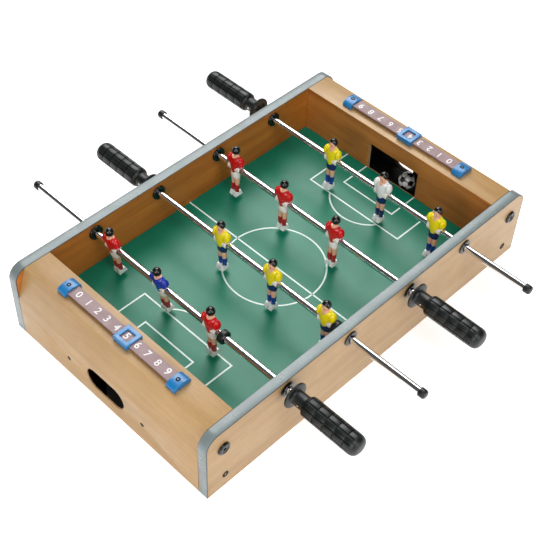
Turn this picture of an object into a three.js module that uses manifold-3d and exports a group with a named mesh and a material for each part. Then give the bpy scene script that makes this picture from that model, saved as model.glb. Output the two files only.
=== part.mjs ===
// Tabletop foosball table: a wooden box with four sliding rods, twelve figures and two scoreboards.
// Millimetres, +Z up. The origin is on the ground under the middle of the table.
// +X points along the table to the right-hand goal and -Y to the near long side.
import * as THREE from "three";
import { mergeVertices } from "three/addons/utils/BufferGeometryUtils.js";
import Module from "manifold-3d";

const wasm = await Module();
wasm.setup();

// Driving dimensions
const tableLength = 510;
const tableWidth = 317.4;
const wallHeight = 97;
const fit = 0.3; // gap between pieces that touch
const panelThickness = 12.6;
const bandThickness = 1;
const cornerRadius = 17;
const cornerSteps = 6;

const fieldTop = 33.7;
const fieldThickness = 4;
const goalWallX = 206.8; // inner face of the two goal walls
const goalWallThickness = 5;
const goalWidth = 78;
const goalHeight = 39.1;
const coverThickness = 6;
const coverFlatEnd = 241.6; // where the flat top of an end cover turns down
const coverSlopeBottom = 57;
const returnWidth = 61;
const returnHeight = 30.3;
const returnBottom = 17;

const trayFloor = 17.2;
const trayThickness = 3;
const trayHalfWidth = 56;
const trayLip = 6;
const battenSize = 18;
const battenCentreZ = 69;
const boltX = 232;
const boltShankRadius = 2;
const boltHeadRadius = 8;
const boltHeadHeight = 2.6;
const battenBoltRadius = 2.4;
const battenBoltDepth = 22;

const rodRadius = 4;
const rodBore = 4.5;
const rodWall = 1;
const rodHeight = 83;
const playerPitch = 80.6;
const gripRadius = 12;
const gripLength = 90.4;
const gripBoreEnd = 22.4; // from the grip's tip to the end of its bore
const neckRadius = 8.6;
const collarRadius = 15.4;
const collarRecessRadius = 9.9; // the collar is dished, so that it can slide over a bushing's flange
const collarRecessDepth = 2;
const capRadius = 5.25;
const capLength = 8.2;
const capBoreEnd = 2;
const ringRadius = 8;
const ringLength = 7;

const barrelRadius = 6.2;
const flangeRadius = 9.2;
const innerHubLength = 3;
const outerHubLength = 2;
const hubTaper = 0.6;

const scoreX = 225;
const scoreBarLength = 168;
const scoreBarWidth = 15.4;
const scoreBarThickness = 2.2;
const scoreBarBottom = 3; // above the end cover
const scoreCapLength = 15.6;
const scoreCapWidth = 23;
const scoreCapHeight = 8;
const scoreCapPocket = 5;
const sliderSize = 22;
const sliderWindow = 12;
const sliderBottom = 0.8; // above the end cover
const sliderTop = 7.4;

const ballRadius = 13.5;
const roundSides = 12;
const rodSides = 16;

// Each rod: its place along the table, which way the figures kick, which side the grip is on (-1 near,
// +1 far), the middle figure, the grip's tip, the plain end's tip, the stop ring and the figures, each
// with its shirt and its lean in degrees, from the far side to the near side.
const rods = [
  {
    name: "red_goal_rod", x: -143.2, kick: 1, grip: -1, middle: 34.3, gripTip: -259.2, capTip: 256.5,
    ring: -65.5, figures: [["red", 8], ["blue", 10], ["red", 2]],
  },
  {
    name: "yellow_attack_rod", x: -48.2, kick: -1, grip: 1, middle: -43.4, gripTip: 250.4, capTip: -262,
    ring: -138.9, figures: [["yellow", 2], ["yellow", 0], ["yellow", 2]],
  },
  {
    name: "red_attack_rod", x: 48.2, kick: 1, grip: -1, middle: 34.4, gripTip: -258.6, capTip: 252.6,
    ring: null, figures: [["red", 0], ["red", 0], ["red", -1]],
  },
  {
    name: "yellow_goal_rod", x: 143.2, kick: -1, grip: 1, middle: -35.8, gripTip: 261.2, capTip: -251.5,
    ring: null, figures: [["yellow", -2], ["white", 0], ["yellow", -2]],
  },
];

const finish = (color, roughness, metalness = 0) => ({ color, roughness, metalness });
const finishes = {
  outerWood: finish(0xc8aa87, 0.45),
  innerWood: finish(0x8c5523, 0.5),
  rawBoard: finish(0xb59a72, 0.8),
  edgeBand: finish(0x8a9aa0, 0.35),
  field: finish(0x146044, 0.4),
  blackBoard: finish(0x16120f, 0.8),
  steel: finish(0xd8dadd, 0.15, 1),
  grip: finish(0x2d3737, 0.5),
  blackPlastic: finish(0x101214, 0.3),
  bolt: finish(0x1a1a1c, 0.3, 0.8),
  scoreBlue: finish(0x4696d2, 0.35),
  scoreBar: finish(0xb49b9b, 0.4),
  ball: finish(0xe6e8e6, 0.35),
  red: finish(0xb01822, 0.3),
  blue: finish(0x1c4fb0, 0.3),
  yellow: finish(0xf0d018, 0.3),
  white: finish(0xeeeeee, 0.3),
};

const group = new THREE.Group();

function addMesh(name, geometry, finishName) {
  const mesh = new THREE.Mesh(geometry, new THREE.MeshStandardMaterial(finishes[finishName]));
  mesh.name = name;
  group.add(mesh);
  return mesh;
}

// Booleans

function toSolid(geometry) {
  const plain = geometry.clone();
  plain.deleteAttribute("normal");
  plain.deleteAttribute("uv");
  const merged = mergeVertices(plain, 1e-4);
  const vertProperties = new Float32Array(merged.attributes.position.array);
  const triVerts = new Uint32Array(merged.index.array);
  return new wasm.Manifold(new wasm.Mesh({ numProp: 3, vertProperties, triVerts }));
}

function toGeometry(solid) {
  const mesh = solid.getMesh();
  const geometry = new THREE.BufferGeometry();
  geometry.setAttribute("position", new THREE.BufferAttribute(new Float32Array(mesh.vertProperties), 3));
  geometry.setIndex(new THREE.BufferAttribute(new Uint32Array(mesh.triVerts), 1));
  return geometry;
}

function cut(body, ...tools) {
  let solid = toSolid(body);
  for (const tool of tools) solid = solid.subtract(toSolid(tool));
  return toGeometry(solid);
}

function join(...pieces) {
  let solid = toSolid(pieces[0]);
  for (const piece of pieces.slice(1)) solid = solid.add(toSolid(piece));
  return toGeometry(solid);
}

// Basic shapes

// A block given by its lowest and highest corners.
function block(low, high) {
  const size = high.map((value, axis) => value - low[axis]);
  const centre = high.map((value, axis) => (value + low[axis]) / 2);
  return new THREE.BoxGeometry(...size).translate(...centre);
}

// A cylinder along Y between two stations.
function rodAlongY(radius, fromY, toY, x = 0, z = 0, sides = roundSides) {
  const cylinder = new THREE.CylinderGeometry(radius, radius, toY - fromY, sides);
  return cylinder.translate(x, (fromY + toY) / 2, z);
}

// A turned piece about Y from [radius, y] points.
function turned(points, sides = roundSides) {
  return new THREE.LatheGeometry(points.map(([radius, y]) => new THREE.Vector2(radius, y)), sides);
}

// An outline in X and Z, extruded along Y between two stations.
function extrudeAlongY(shape, fromY, toY, curveSegments = cornerSteps) {
  const geometry = new THREE.ExtrudeGeometry(shape, { depth: toY - fromY, bevelEnabled: false, curveSegments });
  return geometry.rotateX(Math.PI / 2).translate(0, toY, 0);
}

// An outline in Y and Z, extruded along X between two stations.
function extrudeAlongX(shape, fromX, toX, curveSegments = cornerSteps) {
  const geometry = new THREE.ExtrudeGeometry(shape, { depth: toX - fromX, bevelEnabled: false, curveSegments });
  return geometry.rotateX(Math.PI / 2).rotateZ(Math.PI / 2).translate(fromX, 0, 0);
}

function outline(points) {
  return new THREE.Shape(points.map(([across, up]) => new THREE.Vector2(across, up)));
}

// The long side walls

function panelOutline(inset) {
  const half = tableLength / 2 - inset;
  const top = wallHeight - inset;
  const radius = cornerRadius - inset;
  const shape = new THREE.Shape();
  shape.moveTo(-half, 0);
  shape.lineTo(half, 0);
  shape.lineTo(half, top - radius);
  shape.absarc(half - radius, top - radius, radius, 0, Math.PI / 2, false);
  shape.lineTo(radius - half, top);
  shape.absarc(radius - half, top - radius, radius, Math.PI / 2, Math.PI, false);
  shape.lineTo(-half, 0);
  return shape;
}

function addSideWall(name, side) {
  const outerY = (side * tableWidth) / 2;
  const innerY = outerY - side * panelThickness;
  const [fromY, toY] = [Math.min(outerY, innerY), Math.max(outerY, innerY)];
  const over = 1;
  const holes = rods.map((rod) =>
    rodAlongY(barrelRadius + fit, fromY - over, toY + over, rod.x, rodHeight));
  const boltHoles = [-1, 1].map((end) =>
    rodAlongY(boltShankRadius + fit, fromY - over, toY + over, end * boltX, battenCentreZ, 12));
  const panel = extrudeAlongY(panelOutline(bandThickness + fit), fromY, toY);
  addMesh(`${name}_side_panel`, cut(panel, ...holes, ...boltHoles), "outerWood");
  const band = cut(
    extrudeAlongY(panelOutline(0), fromY, toY),
    extrudeAlongY(panelOutline(bandThickness), fromY - over, toY + over),
    block([-tableLength, fromY - over, -over], [tableLength, toY + over, 0]),
    block([bandThickness - tableLength / 2, fromY - over, -over],
      [tableLength / 2 - bandThickness, toY + over, over]));
  addMesh(`${name}_edge_band`, band, "edgeBand");
}

// The two ends: a folded cover, a goal wall, a ball tray and a batten

const innerHalfWidth = tableWidth / 2 - panelThickness - fit;

function coverOutline() {
  const outer = tableLength / 2;
  const slope = Math.atan2(wallHeight - coverSlopeBottom, outer - coverFlatEnd);
  const topInset = coverThickness * Math.tan(slope / 2);
  const sideInset = coverThickness * Math.tan((Math.PI / 2 - slope) / 2);
  return outline([
    [goalWallX, wallHeight],
    [goalWallX, wallHeight - coverThickness],
    [coverFlatEnd - topInset, wallHeight - coverThickness],
    [outer - coverThickness, coverSlopeBottom - sideInset],
    [outer - coverThickness, 0],
    [outer, 0],
    [outer, coverSlopeBottom],
    [coverFlatEnd, wallHeight],
  ]);
}

function stadium(width, height, centreZ) {
  const radius = height / 2;
  const run = width / 2 - radius;
  const shape = new THREE.Shape();
  shape.moveTo(-run, centreZ - radius);
  shape.lineTo(run, centreZ - radius);
  shape.absarc(run, centreZ, radius, -Math.PI / 2, Math.PI / 2, false);
  shape.lineTo(-run, centreZ + radius);
  shape.absarc(-run, centreZ, radius, Math.PI / 2, (3 * Math.PI) / 2, false);
  return shape;
}

function endCover() {
  const body = extrudeAlongY(coverOutline(), -innerHalfWidth, innerHalfWidth);
  const centreZ = returnBottom + returnHeight / 2;
  const hole = extrudeAlongX(stadium(returnWidth, returnHeight, centreZ), coverFlatEnd, tableLength);
  return cut(body, hole);
}

function goalWall() {
  const top = wallHeight - coverThickness - fit;
  const wall = block([goalWallX, -innerHalfWidth, 0], [goalWallX + goalWallThickness, innerHalfWidth, top]);
  const mouth = block([goalWallX - 1, -goalWidth / 2, fieldTop - fieldThickness - fit],
    [goalWallX + goalWallThickness + 1, goalWidth / 2, fieldTop + goalHeight]);
  return cut(wall, mouth);
}

// A shallow trough that catches the ball behind the goal and lets it out at the return hole.
function ballTray() {
  const fromX = goalWallX + goalWallThickness + fit;
  const toX = tableLength / 2 - coverThickness - fit;
  const bottom = trayFloor - trayThickness;
  const floor = block([fromX, -trayHalfWidth, bottom], [toX, trayHalfWidth, trayFloor]);
  const wall = (side) => block(
    [fromX, Math.min(side * trayHalfWidth, side * (trayHalfWidth - trayThickness)), bottom],
    [toX, Math.max(side * trayHalfWidth, side * (trayHalfWidth - trayThickness)), fieldTop + trayLip]);
  return join(floor, wall(-1), wall(1));
}

// The cross batten that ties the side walls together under an end cover, with a blind hole at each end.
function batten() {
  const half = battenSize / 2;
  const body = block([boltX - half, -innerHalfWidth, battenCentreZ - half],
    [boltX + half, innerHalfWidth, battenCentreZ + half]);
  const holes = [-1, 1].map((side) => {
    const inner = side * (innerHalfWidth - battenBoltDepth);
    const outer = side * (innerHalfWidth + 1);
    return rodAlongY(battenBoltRadius, Math.min(inner, outer), Math.max(inner, outer), boltX, battenCentreZ, 12);
  });
  return cut(body, ...holes);
}

function addEnd(name, side) {
  const pieces = [
    ["end_cover", endCover(), "outerWood"],
    ["goal_wall", goalWall(), "innerWood"],
    ["ball_tray", ballTray(), "blackBoard"],
    ["end_batten", batten(), "rawBoard"],
  ];
  for (const [piece, geometry, finishName] of pieces) {
    const turnedRound = side < 0 ? geometry.rotateZ(Math.PI) : geometry;
    addMesh(`${name}_${piece}`, turnedRound, finishName);
  }
}

function addPlayfield() {
  const halfLength = goalWallX - fit;
  const field = block([-halfLength, -innerHalfWidth, fieldTop - fieldThickness],
    [halfLength, innerHalfWidth, fieldTop]);
  addMesh("playfield", field, "field");
}

// The bolts through the side walls into the battens

function addBolts() {
  const headBase = tableWidth / 2 + fit;
  const tip = innerHalfWidth - battenBoltDepth + 2;
  const dome = boltHeadRadius * 0.8;
  const profile = [[0, tip], [boltShankRadius, tip + 2], [boltShankRadius, headBase], [boltHeadRadius, headBase],
    [boltHeadRadius, headBase + boltHeadHeight / 2], [dome, headBase + boltHeadHeight],
    [0, headBase + boltHeadHeight]];
  for (const [sideName, side] of [["front", -1], ["back", 1]]) {
    for (const [endName, end] of [["left", -1], ["right", 1]]) {
      const bolt = addMesh(`${sideName}_${endName}_bolt`, turned(profile), "bolt");
      if (side < 0) bolt.rotation.x = Math.PI;
      bolt.position.set(end * boltX, 0, battenCentreZ);
    }
  }
}

// A bushing: a barrel through the wall with a thick flange on the inner face and a longer one outside.
function bushing() {
  const inner = tableWidth / 2 - panelThickness;
  const outer = tableWidth / 2;
  return turned([
    [rodBore, inner - innerHubLength],
    [flangeRadius - hubTaper, inner - innerHubLength],
    [flangeRadius, inner - innerHubLength + hubTaper],
    [flangeRadius, inner - fit],
    [barrelRadius, inner - fit],
    [barrelRadius, outer + fit],
    [flangeRadius, outer + fit],
    [flangeRadius, outer + outerHubLength - hubTaper],
    [flangeRadius - hubTaper, outer + outerHubLength],
    [rodBore, outer + outerHubLength],
    [rodBore, inner - innerHubLength],
  ]);
}

// The rods

// A grip as a turned body from its tip (at y = 0) to its collar, with a blind bore for the rod.
function gripBody() {
  const recessBottom = gripLength - collarRecessDepth;
  return turned([
    [0, 0],
    [gripRadius * 0.6, 0.6],
    [gripRadius * 0.88, 3.4],
    [gripRadius, 8],
    [gripRadius, 70],
    [gripRadius * 0.9, 71.2],
    [neckRadius, 73],
    [neckRadius, 85.4],
    [collarRadius * 0.8, 87.2],
    [collarRadius, 88],
    [collarRadius, gripLength],
    [collarRecessRadius, gripLength],
    [collarRecessRadius, recessBottom],
    [rodBore, recessBottom],
    [rodBore, gripBoreEnd],
    [0, gripBoreEnd],
  ]);
}

// The rubber cap on the plain end, from its tip (at y = 0).
function endCap() {
  return turned([
    [0, 0],
    [capRadius * 0.7, 0],
    [capRadius, 1.5],
    [capRadius, capLength],
    [rodBore, capLength],
    [rodBore, capBoreEnd],
    [0, capBoreEnd],
  ]);
}

function stopRing() {
  const half = ringLength / 2;
  return turned([
    [rodBore, -half],
    [ringRadius, -half],
    [ringRadius, half],
    [rodBore, half],
    [rodBore, -half],
  ]);
}

function rodTube(fromY, toY) {
  const shape = new THREE.Shape();
  shape.absarc(0, 0, rodRadius, 0, 2 * Math.PI, false);
  const bore = new THREE.Path();
  bore.absarc(0, 0, rodRadius - rodWall, 0, 2 * Math.PI, true);
  shape.holes.push(bore);
  return extrudeAlongY(shape, fromY, toY, rodSides / 2);
}

// Levels up a figure, measured from its rod: height, half width, back and front.
const figureLevels = [
  [-44.4, 6.2, -5.5, 7.2],
  [-38.5, 5.2, -3.8, 5.4],
  [-35, 4.8, -3.5, 3.6],
  [-24, 5.6, -3.9, 4.3],
  [-15, 7.4, -5.4, 5.6],
  [-4, 7, -5, 5.2],
  [-2.5, 9.8, -5, 6],
  [4.5, 9.8, -5, 6],
  [6.5, 11.2, -5.2, 5.2],
  [14, 11.2, -5, 4.6],
  [18.5, 7, -3.4, 3.4],
  [20.5, 2.8, -2.6, 2.6],
  [23.5, 2.8, -2.6, 2.6],
];

const figureReach = 20; // further than any figure goes, for cuts right through

// The boss that the rod passes through, and the head
const bossRadius = 6.6;
const bossHalf = 7.2;
const headRadius = 4.9;
const headStretch = 1.12;
const headCentre = 26;

// A figure about its rod: local z is up along the body, local x is the way it faces.
function figure() {
  const reach = figureReach;
  const right = figureLevels.map(([z, half]) => [half, z]);
  const left = figureLevels.map(([z, half]) => [-half, z]).reverse();
  const front = figureLevels.map(([z, , , frontX]) => [frontX, z]);
  const back = figureLevels.map(([z, , backX]) => [backX, z]).reverse();
  const widthwise = extrudeAlongX(outline([...right, ...left]), -reach, reach);
  const lengthwise = extrudeAlongY(outline([...front, ...back]), -reach, reach);
  const body = toGeometry(toSolid(widthwise).intersect(toSolid(lengthwise)));
  const boss = rodAlongY(bossRadius, -bossHalf, bossHalf);
  const head = new THREE.SphereGeometry(headRadius, 8, 6).scale(1, 1, headStretch).translate(0, 0, headCentre);
  return cut(join(body, boss, head), rodAlongY(rodBore, -reach, reach));
}

function addRod(rod) {
  const along = -rod.grip; // from the grip's tip towards the plain end
  const ends = [rod.gripTip + along * (gripBoreEnd + fit), rod.capTip - along * (capBoreEnd + fit)];
  const tube = addMesh(rod.name, rodTube(Math.min(...ends), Math.max(...ends)), "steel");
  tube.position.set(rod.x, 0, rodHeight);
  const stem = rod.name.replace("_rod", "");
  const grip = addMesh(`${stem}_grip`, gripBody(), "grip");
  grip.position.set(rod.x, rod.gripTip, rodHeight);
  if (rod.grip > 0) grip.rotation.x = Math.PI;
  const cap = addMesh(`${stem}_end_cap`, endCap(), "grip");
  cap.position.set(rod.x, rod.capTip, rodHeight);
  if (rod.grip < 0) cap.rotation.x = Math.PI;
  if (rod.ring !== null) {
    addMesh(`${stem}_stop_ring`, stopRing(), "blackPlastic").position.set(rod.x, rod.ring, rodHeight);
  }
  rod.figures.forEach(([shirt, lean], index) => {
    const place = ["far", "middle", "near"][index];
    const player = addMesh(`${stem}_${place}_player`, figure(), shirt);
    player.position.set(rod.x, rod.middle + (1 - index) * playerPitch, rodHeight);
    player.rotation.set(0, (-rod.kick * lean * Math.PI) / 180, rod.kick > 0 ? 0 : Math.PI);
  });
  for (const [sideName, side] of [["front", -1], ["back", 1]]) {
    const sleeve = addMesh(`${stem}_${sideName}_bushing`, bushing(), "blackPlastic");
    sleeve.position.set(rod.x, 0, rodHeight);
    if (side < 0) sleeve.rotation.x = Math.PI;
  }
}

// The scoreboards: a bar with the score, a cap at each end and a slider that travels along it

function scoreBar() {
  return block([-scoreBarWidth / 2, -scoreBarLength / 2, scoreBarBottom],
    [scoreBarWidth / 2, scoreBarLength / 2, scoreBarBottom + scoreBarThickness]);
}

// An arched cap whose pocket holds one end of the bar; the pocket opens towards -Y.
function scoreCap() {
  const halfWidth = scoreCapWidth / 2;
  const shoulder = scoreCapHeight * 0.55;
  const shape = new THREE.Shape();
  shape.moveTo(-halfWidth, fit);
  shape.lineTo(halfWidth, fit);
  shape.lineTo(halfWidth, shoulder);
  shape.quadraticCurveTo(halfWidth * 0.8, scoreCapHeight, 0, scoreCapHeight);
  shape.quadraticCurveTo(-halfWidth * 0.8, scoreCapHeight, -halfWidth, shoulder);
  const body = extrudeAlongY(shape, 0, scoreCapLength, 5);
  const pocketHalf = scoreBarWidth / 2 + fit;
  const pocket = block([-pocketHalf, -1, scoreBarBottom - fit],
    [pocketHalf, scoreCapPocket + fit, scoreBarBottom + scoreBarThickness + fit]);
  return cut(body, pocket);
}

// A square slider round the bar, with a window over the score.
function scoreSlider() {
  const half = sliderSize / 2;
  const windowHalf = sliderWindow / 2;
  const top = sliderTop;
  const body = block([-half, -half, sliderBottom], [half, half, top]);
  const slotHalf = scoreBarWidth / 2 + fit;
  const slot = block([-slotHalf, -sliderSize, scoreBarBottom - fit],
    [slotHalf, sliderSize, scoreBarBottom + scoreBarThickness + fit]);
  const window = block([-windowHalf, -windowHalf, scoreBarBottom], [windowHalf, windowHalf, top + 1]);
  return cut(body, slot, window);
}

function addScoreboard(name, end, centreY, sliderY) {
  const board = new THREE.Group();
  board.position.set(end * scoreX, centreY, wallHeight);
  group.add(board);
  const place = (piece, geometry, finishName) => board.add(addMesh(`${name}_${piece}`, geometry, finishName));
  place("score_bar", scoreBar(), "scoreBar");
  const capY = scoreBarLength / 2 - scoreCapPocket;
  place("score_back_cap", scoreCap().translate(0, capY, 0), "scoreBlue");
  place("score_front_cap", scoreCap().rotateZ(Math.PI).translate(0, -capY, 0), "scoreBlue");
  place("score_slider", scoreSlider().translate(0, sliderY - centreY, 0), "scoreBlue");
}

function addBall() {
  const ball = addMesh("ball", new THREE.SphereGeometry(ballRadius, 16, 10), "ball");
  ball.position.set(goalWallX + goalWallThickness + fit + ballRadius, -12, trayFloor + fit + ballRadius);
}

addSideWall("front", -1);
addSideWall("back", 1);
addEnd("left", -1);
addEnd("right", 1);
addPlayfield();
addBolts();
rods.forEach(addRod);
addScoreboard("left", -1, 1.8, -8.5);
addScoreboard("right", 1, 1, -5.5);
addBall();

export default group;
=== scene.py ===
import math
import bmesh
import bpy
from mathutils import Matrix, Vector


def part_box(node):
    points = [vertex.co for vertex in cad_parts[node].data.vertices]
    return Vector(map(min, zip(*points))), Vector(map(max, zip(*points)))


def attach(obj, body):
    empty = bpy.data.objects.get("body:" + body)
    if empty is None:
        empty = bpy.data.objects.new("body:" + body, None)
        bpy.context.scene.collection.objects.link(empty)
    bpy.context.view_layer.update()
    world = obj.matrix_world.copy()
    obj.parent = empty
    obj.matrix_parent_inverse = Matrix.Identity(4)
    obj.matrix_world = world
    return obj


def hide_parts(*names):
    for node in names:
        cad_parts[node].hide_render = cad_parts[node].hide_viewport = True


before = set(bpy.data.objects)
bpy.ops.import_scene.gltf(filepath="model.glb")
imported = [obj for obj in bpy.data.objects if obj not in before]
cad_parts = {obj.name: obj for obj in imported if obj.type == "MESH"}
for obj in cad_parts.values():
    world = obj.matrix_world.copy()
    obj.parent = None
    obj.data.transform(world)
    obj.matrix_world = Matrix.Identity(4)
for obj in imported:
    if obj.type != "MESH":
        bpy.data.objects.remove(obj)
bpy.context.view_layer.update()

# Lengths below are in millimetres. +X points to the right-hand goal, -Y to the near long side.
mm = 0.001


# Hand tools

def boxOf(nodeName):
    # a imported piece's lowest and highest corners
    low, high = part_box(nodeName)
    return Vector(low) / mm, Vector(high) / mm


def middleOf(nodeName):
    low, high = boxOf(nodeName)
    return (low + high) / 2


def clearSelection():
    if bpy.context.mode != "OBJECT":
        bpy.ops.object.mode_set(mode="OBJECT")
    bpy.ops.object.select_all(action="DESELECT")


def pick(*pieces):
    clearSelection()
    for piece in pieces:
        piece.select_set(True)
    bpy.context.view_layer.objects.active = pieces[0]


def freeze(piece, location=(0, 0, 0), rotation=(0, 0, 0), scale=(1, 1, 1)):
    # puts a piece in its place and moves that place into the mesh
    pick(piece)
    piece.location = Vector(location) * mm
    piece.rotation_euler = rotation
    piece.scale = scale
    bpy.ops.object.transform_apply(location=True, rotation=True, scale=True)
    return piece


def named(piece, name):
    piece.name = name
    piece.data.name = name
    return piece


def useModifier(piece, kind, **settings):
    pick(piece)
    modifier = piece.modifiers.new(kind.title(), kind)
    for key, value in settings.items():
        setattr(modifier, key, value)
    bpy.ops.object.modifier_apply(modifier=modifier.name)
    return piece


def softenEdges(piece, width, segments=2, angle=35):
    return useModifier(piece, "BEVEL", width=width * mm, segments=segments, limit_method="ANGLE",
                       angle_limit=math.radians(angle), miter_outer="MITER_ARC")


def smooth(piece, angle=35):
    pick(piece)
    bpy.ops.object.shade_smooth_by_angle(angle=math.radians(angle))
    return piece


def startEdit(piece, kind="FACE"):
    pick(piece)
    bpy.ops.object.mode_set(mode="EDIT")
    bpy.ops.mesh.select_mode(type=kind)
    bpy.ops.mesh.select_all(action="DESELECT")


def endEdit():
    bpy.ops.object.mode_set(mode="OBJECT")


def chooseFaces(test):
    # selects the faces whose centre (in millimetres) and normal pass the test
    bpy.ops.mesh.select_all(action="DESELECT")
    mesh = bmesh.from_edit_mesh(bpy.context.edit_object.data)
    for face in mesh.faces:
        face.select_set(bool(test(face.calc_center_median() / mm, face.normal)))
    bmesh.update_edit_mesh(bpy.context.edit_object.data)


def chooseEdges(test):
    bpy.ops.mesh.select_all(action="DESELECT")
    mesh = bmesh.from_edit_mesh(bpy.context.edit_object.data)
    for edge in mesh.edges:
        first, second = edge.verts[0].co / mm, edge.verts[1].co / mm
        edge.select_set(bool(test(first, second)))
    bmesh.update_edit_mesh(bpy.context.edit_object.data)


def paintFaces(piece, slotIndex, test):
    # gives the faces that pass the test another of the piece's materials
    startEdit(piece)
    chooseFaces(test)
    piece.active_material_index = slotIndex
    bpy.ops.object.material_slot_assign()
    endEdit()


def giveMaterials(piece, *materials):
    piece.data.materials.clear()
    for material in materials:
        piece.data.materials.append(material)
    return piece


def addBox(name, low, high):
    clearSelection()
    low, high = Vector(low), Vector(high)
    bpy.ops.mesh.primitive_cube_add(size=mm)
    piece = named(bpy.context.active_object, name)
    return freeze(piece, (low + high) / 2, scale=high - low)


def stepUp(rise, stretch=(1, 1), shift=(0, 0), centre=(0, 0, 0)):
    # extrudes the selected end face upwards, then scales it
    bpy.ops.mesh.extrude_region_move(
        TRANSFORM_OT_translate={"value": (shift[0] * mm, shift[1] * mm, rise * mm)})
    if stretch != (1, 1):
        bpy.ops.transform.resize(value=(stretch[0], stretch[1], 1), center_override=Vector(centre) * mm)


def addTurned(name, profile, sides=48):
    # a turned piece about Z from (height, radius) pairs; the last pairs may go back down as a bore
    clearSelection()
    height, radius = profile[0]
    bpy.ops.mesh.primitive_circle_add(vertices=sides, radius=radius * mm, fill_type="NGON")
    piece = freeze(named(bpy.context.active_object, name), (0, 0, height))
    startEdit(piece)
    bpy.ops.mesh.select_all(action="SELECT")
    for nextHeight, nextRadius in profile[1:]:
        ratio = nextRadius / radius
        stepUp(nextHeight - height, (ratio, ratio), centre=(0, 0, nextHeight))
        height, radius = nextHeight, nextRadius
    bpy.ops.mesh.select_all(action="SELECT")
    bpy.ops.mesh.normals_make_consistent(inside=False)
    endEdit()
    return piece


def addLofted(name, sections, sides=16):
    # a closed skin through oval sections: (height, half depth, half width, forward shift, side shift)
    clearSelection()
    height, depth, width, forward, across = sections[0]
    bpy.ops.mesh.primitive_circle_add(vertices=sides, radius=mm, fill_type="NGON")
    piece = freeze(named(bpy.context.active_object, name), (forward, across, height), scale=(depth, width, 1))
    startEdit(piece)
    bpy.ops.mesh.select_all(action="SELECT")
    for nextSection in sections[1:]:
        nextHeight, nextDepth, nextWidth, nextForward, nextAcross = nextSection
        stepUp(nextHeight - height, (nextDepth / depth, nextWidth / width),
               (nextForward - forward, nextAcross - across), (nextForward, nextAcross, nextHeight))
        height, depth, width, forward, across = nextSection
    bpy.ops.mesh.select_all(action="SELECT")
    bpy.ops.mesh.normals_make_consistent(inside=False)
    endEdit()
    return piece


def addEgg(name, centre, radii, segments=24, rings=14, rotation=(0, 0, 0)):
    clearSelection()
    bpy.ops.mesh.primitive_uv_sphere_add(segments=segments, ring_count=rings, radius=mm)
    return freeze(named(bpy.context.active_object, name), centre, rotation, radii)


def boreThrough(piece, endRadius, boreRadius):
    # opens a hole from end to end of a turned piece
    heights = [corner[2] / mm for corner in piece.bound_box]
    low, high = min(heights), max(heights)
    startEdit(piece)
    chooseFaces(lambda centre, normal: abs(normal.z) > 0.9 and centre.xy.length < 0.1
                and (abs(centre.z - low) < 0.01 or abs(centre.z - high) < 0.01))
    bpy.ops.mesh.inset(thickness=(endRadius - boreRadius) * mm, use_individual=True)
    bpy.ops.mesh.bridge_edge_loops()
    endEdit()
    return piece


def combine(piece, others, operation, solver):
    for other in others:
        useModifier(piece, "BOOLEAN", object=other, operation=operation, solver=solver,
                    material_mode="TRANSFER")
        bpy.data.objects.remove(other, do_unlink=True)
    return piece


def cutAway(piece, *tools):
    return combine(piece, tools, "DIFFERENCE", "EXACT")


def unite(piece, *others):
    return combine(piece, others, "UNION", "MANIFOLD")


def joinPieces(piece, *others):
    pick(piece, *others)
    bpy.ops.object.join()
    return piece


def copyPiece(piece, name, location=(0, 0, 0), rotation=(0, 0, 0)):
    copy = piece.copy()
    copy.data = piece.data.copy()
    bpy.context.collection.objects.link(copy)
    return freeze(named(copy, name), location, rotation)


def discard(*pieces):
    for piece in pieces:
        bpy.data.objects.remove(piece, do_unlink=True)


def place(piece, body, slot, *replaced):
    # hangs a finished piece on a body, in place of the plain pieces it was made from
    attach(piece, body)
    if replaced:
        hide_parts(*replaced)
    return piece


# Material tools

def startMaterial(name):
    # a new material, with its nodes and its shader
    material = bpy.data.materials.new(name)
    material.use_nodes = True
    return material, material.node_tree, material.node_tree.nodes["Principled BSDF"]


def addNode(tree, kind, sockets=None, **settings):
    # a node whose sockets take either a value or a wire from another node
    node = tree.nodes.new(kind)
    for key, value in settings.items():
        setattr(node, key, value)
    for key, value in (sockets or {}).items():
        if isinstance(value, bpy.types.NodeSocket):
            tree.links.new(value, node.inputs[key])
        else:
            node.inputs[key].default_value = value
    return node


def mathNode(tree, operation, first, second=0.0):
    return addNode(tree, "ShaderNodeMath", {0: first, 1: second}, operation=operation).outputs[0]


def mixColour(tree, factor, first, second):
    return addNode(tree, "ShaderNodeMix", {0: factor, 6: first, 7: second}, data_type="RGBA").outputs[2]


def objectPoint(tree, scale=(1, 1, 1), location=(0, 0, 0)):
    point = addNode(tree, "ShaderNodeTexCoord").outputs["Object"]
    mapping = addNode(tree, "ShaderNodeMapping", {"Vector": point, "Scale": scale, "Location": location})
    return mapping.outputs[0]


def wireShader(tree, shader, colour, roughness, normal):
    tree.links.new(colour, shader.inputs["Base Color"])
    tree.links.new(roughness, shader.inputs["Roughness"])
    tree.links.new(normal, shader.inputs["Normal"])


def startGroup(name, inputs, outputs):
    group = bpy.data.node_groups.new(name, "ShaderNodeTree")
    for socketName, kind, value in inputs:
        socket = group.interface.new_socket(socketName, in_out="INPUT", socket_type=kind)
        if value is not None:
            socket.default_value = value
    for socketName, kind in outputs:
        group.interface.new_socket(socketName, in_out="OUTPUT", socket_type=kind)
    start = group.nodes.new("NodeGroupInput")
    end = group.nodes.new("NodeGroupOutput")
    return group, start.outputs, end.inputs


def useGroup(tree, group, **sockets):
    node = tree.nodes.new("ShaderNodeGroup")
    node.node_tree = group
    for key, value in sockets.items():
        if isinstance(value, bpy.types.NodeSocket):
            tree.links.new(value, node.inputs[key])
        else:
            node.inputs[key].default_value = value
    return node.outputs


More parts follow.
